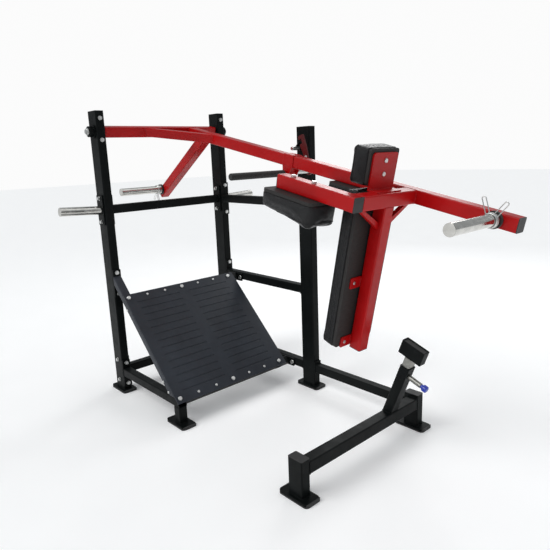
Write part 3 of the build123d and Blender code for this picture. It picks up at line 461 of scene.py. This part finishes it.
def frame_loops():
    """Beads of the frame: tubes on their end plates, and posts on their foot plates."""
    loops = []
    ends = [(8, NEAR_Y, RAIL_Z)]
    ends += [(x, FAR_Y, z) for x in (8, 733) for z in (RAIL_Z, MID_Z, HIGH_Z)]
    ends += [(x, FAR_Y, RAIL_Z) for x in (841, 1475)]
    for x, y, z in ends:
        loops.append((place(x, y, z), Y, Z, HALF_TUBE, HALF_TUBE, TUBE_CORNER))
    for z in (RAIL_Z, HIGH_Z):
        loops += [(place(-50, y, z), X, Z, HALF_TUBE, HALF_TUBE, TUBE_CORNER) for y in (58, 832)]
    loops += [(place(1527, y, 138), X, Z, 30, 30, TUBE_CORNER) for y in (50, 840)]
    posts = [(-50, NEAR_Y, 50), (-50, FAR_Y, 50), (783, FAR_Y, 50), (1516, NEAR_Y, 41), (1516, FAR_Y, 41)]
    for x, y, half in posts + [(608.5, NEAR_Y, 27.5)]:
        loops.append((place(x, y, FOOT_TOP), X, Y, half, HALF_TUBE, TUBE_CORNER))
    loops.append((place(1524.4, 650, 168), X, Y, 26.7, 30, 6))
    for y in (-8.0, 898.0):
        loops.append((place(-50, y, HIGH_Z), X, Z, HALF_TUBE, HALF_TUBE, 24.9))
    loops.append((place(755, 840, 1437), X, Z, 11, 11, 10.9))
    return loops


def frame_lines():
    """Beads that don't run all the way round: the leg under the rail, and the webs."""
    lines = [(place(x, 3, 103), place(x, 47, 103), X) for x in (581, 636)]
    for z in (103, 587):
        for y in (857, 863):
            lines.append((place(732, y, z - 26), place(732, y, z - 2), X))
            lines.append((place(707, y, z), place(731, y, z), Z))
    return lines


def lever_loops():
    brace = atan2(270.0, 232.0)
    across, square = ACROSS, NORMAL
    loops = [
        (on_lever(30, 650, 0), across, square, 30, 30, 6),
        (on_lever(30, 350, 0), across, square, 25 / cos(brace), 25, 7),
        (on_lever(262, 620, 0), ALONG, square, 25 / sin(brace), 25, 7),
        (on_lever(1722, 620, 0), ALONG, square, 29, 29, 6),
        (on_lever(1722, 270, 0), ALONG, square, 29, 29, 6),
        (on_lever(1722, 445, -30), ALONG, across, 29, 30, 6),
        (on_lever(155, 650, -30), ALONG, across, 42.4, 29, 6),
        (on_lever(926, 650, 0), across, square, 31.5, 31.5, 5),
        (on_lever(997, 650, 0), across, square, 31.5, 31.5, 5),
    ]
    return loops


def lever_lines():
    """Short beads that hold the pad brackets and the head plate."""
    lines = []
    for y in (366, 524):
        inner = 445 + (y - 445) * 0.2
        lines.append((on_lever(1692, y, 34.5), on_lever(1692, inner, 34.5), NORMAL))
    for n in (-370, -654):
        for y in (415, 475):
            lines.append((on_lever(1691.5, y, n - 22), on_lever(1691.5, y, n + 22), ALONG))
    for y in (385, 445, 505):
        lines.append((on_lever(1738, y - 14, 30.5), on_lever(1738, y + 14, 30.5), NORMAL))
    return lines


weld_loops("frame_weld_beads", "frame", "frame_black", frame_loops())
weld_lines("frame_short_welds", "frame", "frame_black", frame_lines())
weld_loops("lever_weld_beads", "lever", "lever_red", lever_loops())
weld_lines("lever_short_welds", "lever", "lever_red", lever_lines())


# ------------------------------------------------------------------ padded covers
class Pad:
    """A pad: its CAD node, thickness axis (towards the board), and the sizes of its seam."""

    def __init__(self, node, board, first, second, voxel, cap, fill, seam, seam_corner):
        self.node = node
        self.board = board
        self.first = first
        self.second = second
        self.voxel = voxel * MM
        self.cap = cap * MM
        self.fill = fill
        self.seam = seam * MM
        self.seam_corner = seam_corner * MM


SHOULDER = {"voxel": 4.5, "cap": 7.0, "fill": 0.75, "seam": 24.0, "seam_corner": 30.0}
PADS = [
    Pad("head_pad", ALONG, ACROSS, NORMAL, voxel=4.5, cap=7.0, fill=0.8, seam=20.0, seam_corner=26.0),
    Pad("back_pad", ALONG, ACROSS, NORMAL, voxel=6.0, cap=8.0, fill=0.75, seam=22.0, seam_corner=32.0),
    Pad("shoulder_pad_near", NORMAL, ALONG, ACROSS, **SHOULDER),
    Pad("shoulder_pad_far", NORMAL, ALONG, ACROSS, **SHOULDER),
]
SHRINK = 3.0 * MM
BOARD_BAND = 3.5 * MM
FRAMES = 20


def extent(points, axis):
    values = [p.dot(axis) for p in points]
    return min(values), max(values)


def evaluated_mesh(obj):
    graph = bpy.context.evaluated_depsgraph_get()
    graph.update()
    shape = obj.evaluated_get(graph)
    return bpy.data.meshes.new_from_object(shape, preserve_all_data_layers=False, depsgraph=graph)


def bake_modifiers(obj):
    mesh = evaluated_mesh(obj)
    obj.modifiers.clear()
    old = obj.data
    obj.data = mesh
    bpy.data.meshes.remove(old)


def start_pad(pad):
    """A slightly smaller copy of the CAD pad, remeshed evenly for the cloth."""
    mesh = nodes[pad.node].data.copy()
    points = [v.co.copy() for v in mesh.vertices]
    board_low, board_high = extent(points, pad.board)
    spans = [(axis, *extent(points, axis)) for axis in (pad.first, pad.second)]
    for vertex in mesh.vertices:
        co = vertex.co.copy()
        depth = co.dot(pad.board)
        share = 1.0 - SHRINK / (board_high - board_low)
        co += pad.board * ((depth - board_high) * (share - 1.0))
        for axis, low, high in spans:
            middle = (low + high) / 2
            share = 1.0 - 2 * SHRINK / (high - low)
            co += axis * ((co.dot(axis) - middle) * (share - 1.0))
        vertex.co = co
    obj = add_object(pad.node + "_cover", mesh, "vinyl")
    merge = bmesh.new()
    merge.from_mesh(mesh)
    bmesh.ops.remove_doubles(merge, verts=merge.verts, dist=0.00002)
    merge.to_mesh(mesh)
    merge.free()
    remesh = obj.modifiers.new("even", "REMESH")
    remesh.mode = "VOXEL"
    remesh.voxel_size = pad.voxel
    bake_modifiers(obj)
    obj.data.materials.clear()
    obj.data.materials.append(finishes["vinyl"])
    pad.flat = board_high
    return obj


def add_cloth(pad, obj):
    held = obj.vertex_groups.new(name="board")
    near = [v.index for v in obj.data.vertices if pad.flat - v.co.dot(pad.board) < BOARD_BAND]
    held.add(near, 1.0, "REPLACE")
    cloth = obj.modifiers.new("cover", "CLOTH")
    settings = cloth.settings
    settings.quality = 5
    settings.mass = 0.3
    settings.tension_stiffness = 14.0
    settings.compression_stiffness = 14.0
    settings.shear_stiffness = 6.0
    settings.bending_stiffness = 0.6
    settings.use_pressure = True
    settings.uniform_pressure_force = 4.0
    settings.effector_weights.gravity = 0.0
    settings.vertex_group_mass = "board"
    cloth.point_cache.frame_start = 1
    cloth.point_cache.frame_end = FRAMES


def settle(pads):
    """Swell all the covers together, then cap how far any point has moved."""
    starts = {obj.name: [v.co.copy() for v in obj.data.vertices] for _, obj in pads}
    for pad, obj in pads:
        add_cloth(pad, obj)
    for number in range(1, FRAMES + 1):
        scene.frame_set(number)
    graph = bpy.context.evaluated_depsgraph_get()
    for pad, obj in pads:
        swollen = obj.evaluated_get(graph).data
        moved = [v.co.copy() for v in swollen.vertices]
        for vertex, start, end in zip(obj.data.vertices, starts[obj.name], moved):
            step = end - start
            if step.length > pad.cap:
                step *= pad.cap / step.length
            vertex.co = start + step
    for _, obj in pads:
        obj.modifiers.clear()
        obj.vertex_groups.clear()
    scene.frame_set(1)


def smooth_cover(obj):
    relax = obj.modifiers.new("relax", "SMOOTH")
    relax.factor = 0.5
    relax.iterations = 4
    divide = obj.modifiers.new("divide", "SUBSURF")
    divide.levels = 1
    divide.render_levels = 1
    bake_modifiers(obj)
    shade_smooth(obj.data)


def surface_line(pad, obj, inset):
    """Points on the cover's side wall, inset from the front face, all the way round."""
    points = [v.co.copy() for v in obj.data.vertices]
    low, _ = extent(points, pad.board)
    a_low, a_high = extent(points, pad.first)
    b_low, b_high = extent(points, pad.second)
    centre = (
        pad.board * (low + inset)
        + pad.first * ((a_low + a_high) / 2)
        + pad.second * ((b_low + b_high) / 2)
    )
    half_a, half_b = (a_high - a_low) / 2 + 0.02, (b_high - b_low) / 2 + 0.02
    loop = rounded_loop(centre, pad.first, pad.second, half_a, half_b, pad.seam_corner + 0.02, 3.0 * MM)
    tree = BVHTree.FromPolygons(points, [tuple(p.vertices) for p in obj.data.polygons])
    core_a, core_b = half_a - 0.02 - pad.seam_corner, half_b - 0.02 - pad.seam_corner
    found = []
    for point in loop:
        a = min(max((point - centre).dot(pad.first), -core_a), core_a)
        b = min(max((point - centre).dot(pad.second), -core_b), core_b)
        inner = centre + pad.first * a + pad.second * b
        hit = tree.ray_cast(point, (inner - point).normalized())[0]
        if hit is not None:
            found.append(hit)
    return found


def smooth_line(points, rounds):
    for _ in range(rounds):
        count = len(points)
        points = [(points[k - 1] + points[k] * 2 + points[(k + 1) % count]) / 4 for k in range(count)]
    return points


WELT_R = 1.7 * MM
STITCH_PITCH = 6.0 * MM
STITCH_LENGTH = 3.8 * MM
STITCH_R = 0.55 * MM


def add_welt(pad, cover):
    """Piping sewn round the cover where the front panel meets the side."""
    line = smooth_line(surface_line(pad, cover, pad.seam), 3)
    bm = bmesh.new()
    add_tube(bm, line, pad.board, WELT_R, 10)
    welt = add_object(pad.node + "_welt", finish_bmesh(bm, pad.node + "_welt"), "vinyl")
    welt.parent = cover
    return welt


def add_stitches(pad, cover):
    """A row of thread just below the piping, each stitch lying on the vinyl."""
    line = smooth_line(surface_line(pad, cover, pad.seam + 5.5 * MM), 3)
    line = resample(line + line[:1], STITCH_PITCH)[:-1]
    count = len(line)
    bm = bmesh.new()
    for k, point in enumerate(line):
        along = (line[(k + 1) % count] - line[k - 1]).normalized() * (STITCH_LENGTH / 2)
        path = [point - along, point - along * 0.6, point + along * 0.6, point + along]
        add_tube(bm, path, pad.board, [STITCH_R * s for s in (0.35, 1.0, 1.0, 0.35)], 6, closed=False)
    name = pad.node + "_stitches"
    stitches = add_object(name, finish_bmesh(bm, name), "vinyl")
    stitches.parent = cover
    return stitches


covers = [(pad, start_pad(pad)) for pad in PADS]
settle(covers)
for pad, cover in covers:
    smooth_cover(cover)
    add_welt(pad, cover)
    add_stitches(pad, cover)
    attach(cover, "lever")
    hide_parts(pad.node)


# ------------------------------------------------------------------ floor, light and camera
FLOOR_HALF = 30.0
FLOOR_Z = -0.0006


def make_floor():
    """A large pale square, a hair below the shoes."""
    mesh = bpy.data.meshes.new("floor")
    corners = ((-1, -1), (1, -1), (1, 1), (-1, 1))
    mesh.from_pydata([(x * FLOOR_HALF, y * FLOOR_HALF, FLOOR_Z) for x, y in corners], [], [(0, 1, 2, 3)])
    floor = bpy.data.objects.new("studio_floor", mesh)
    scene.collection.objects.link(floor)
    material, tree, shader = new_material("studio_floor")
    space = object_space(tree)
    shade = ramp(tree, noise(tree, space, 3.0, 5.0), [(0.3, (0.93, 0.93, 0.93)), (0.7, (0.96, 0.96, 0.96))])
    link(tree, shade, shader.inputs["Base Color"])
    shader.inputs["Roughness"].default_value = 0.8
    shader.inputs["Emission Color"].default_value = (1.0, 1.0, 1.0, 1.0)
    shader.inputs["Emission Strength"].default_value = 0.10
    mesh.materials.append(material)


def make_world():
    """Near-white backdrop, with less light from it than the eye sees."""
    world = bpy.data.worlds.new("studio")
    scene.world = world
    world.use_nodes = True
    tree = world.node_tree
    backdrop = tree.nodes["Background"]
    backdrop.inputs["Color"].default_value = (0.97, 0.97, 0.97, 1.0)
    backdrop.inputs["Strength"].default_value = 1.0
    ambient = tree.nodes.new("ShaderNodeBackground")
    ambient.inputs["Color"].default_value = (0.93, 0.97, 1.0, 1.0)
    ambient.inputs["Strength"].default_value = 0.42
    path = tree.nodes.new("ShaderNodeLightPath")
    mix = tree.nodes.new("ShaderNodeMixShader")
    link(tree, path.outputs["Is Camera Ray"], mix.inputs["Fac"])
    link(tree, ambient.outputs["Background"], mix.inputs[1])
    link(tree, backdrop.outputs["Background"], mix.inputs[2])
    link(tree, mix.outputs["Shader"], tree.nodes["World Output"].inputs["Surface"])


def area_light(name, spot, target, size, power):
    """A soft white panel at spot, facing target."""
    data = bpy.data.lights.new(name, "AREA")
    data.shape = "RECTANGLE"
    data.size, data.size_y = size
    data.energy = power
    light = bpy.data.objects.new(name, data)
    scene.collection.objects.link(light)
    light.location = spot
    light.rotation_euler = (Vector(target) - Vector(spot)).to_track_quat("-Z", "Y").to_euler()


def sun_light(name, ahead, power, softness):
    """Broad even light, shining along the given direction."""
    data = bpy.data.lights.new(name, "SUN")
    data.energy = power
    data.angle = radians(softness)
    light = bpy.data.objects.new(name, data)
    scene.collection.objects.link(light)
    light.rotation_euler = Vector(ahead).to_track_quat("-Z", "Y").to_euler()


def make_lights():
    sun_light("key", ahead=(0.35, 1.0, -1.05), power=1.5, softness=38.0)
    sun_light("overhead", ahead=(-0.3, -0.35, -1.0), power=0.45, softness=60.0)
    area_light("strip", spot=(-1.6, 3.6, 3.2), target=(0.2, 0.0, 0.9), size=(2.4, 1.4), power=45.0)


CAMERA_SPOT = place(2948.5, -1356.9, 1412.4)
CAMERA_YAW = radians(48.0)
CAMERA_PITCH = radians(12.8)
CAMERA_ROLL = radians(-2.2)
CAMERA_LENS = 34.93
SENSOR = 36.0


def make_camera():
    ahead_flat = Vector((-sin(CAMERA_YAW), cos(CAMERA_YAW), 0.0))
    right_flat = Vector((cos(CAMERA_YAW), sin(CAMERA_YAW), 0.0))
    ahead = ahead_flat * cos(CAMERA_PITCH) - Z * sin(CAMERA_PITCH)
    up_level = Z * cos(CAMERA_PITCH) + ahead_flat * sin(CAMERA_PITCH)
    right = right_flat * cos(CAMERA_ROLL) + up_level * sin(CAMERA_ROLL)
    up = up_level * cos(CAMERA_ROLL) - right_flat * sin(CAMERA_ROLL)
    data = bpy.data.cameras.new("camera")
    data.lens = CAMERA_LENS
    data.sensor_width = SENSOR
    camera = bpy.data.objects.new("camera", data)
    scene.collection.objects.link(camera)
    turn = Matrix((right, up, -ahead)).transposed()
    camera.matrix_world = Matrix.Translation(CAMERA_SPOT) @ turn.to_4x4()
    scene.camera = camera


make_floor()
make_world()
make_lights()
make_camera()
scene.view_settings.view_transform = "Standard"
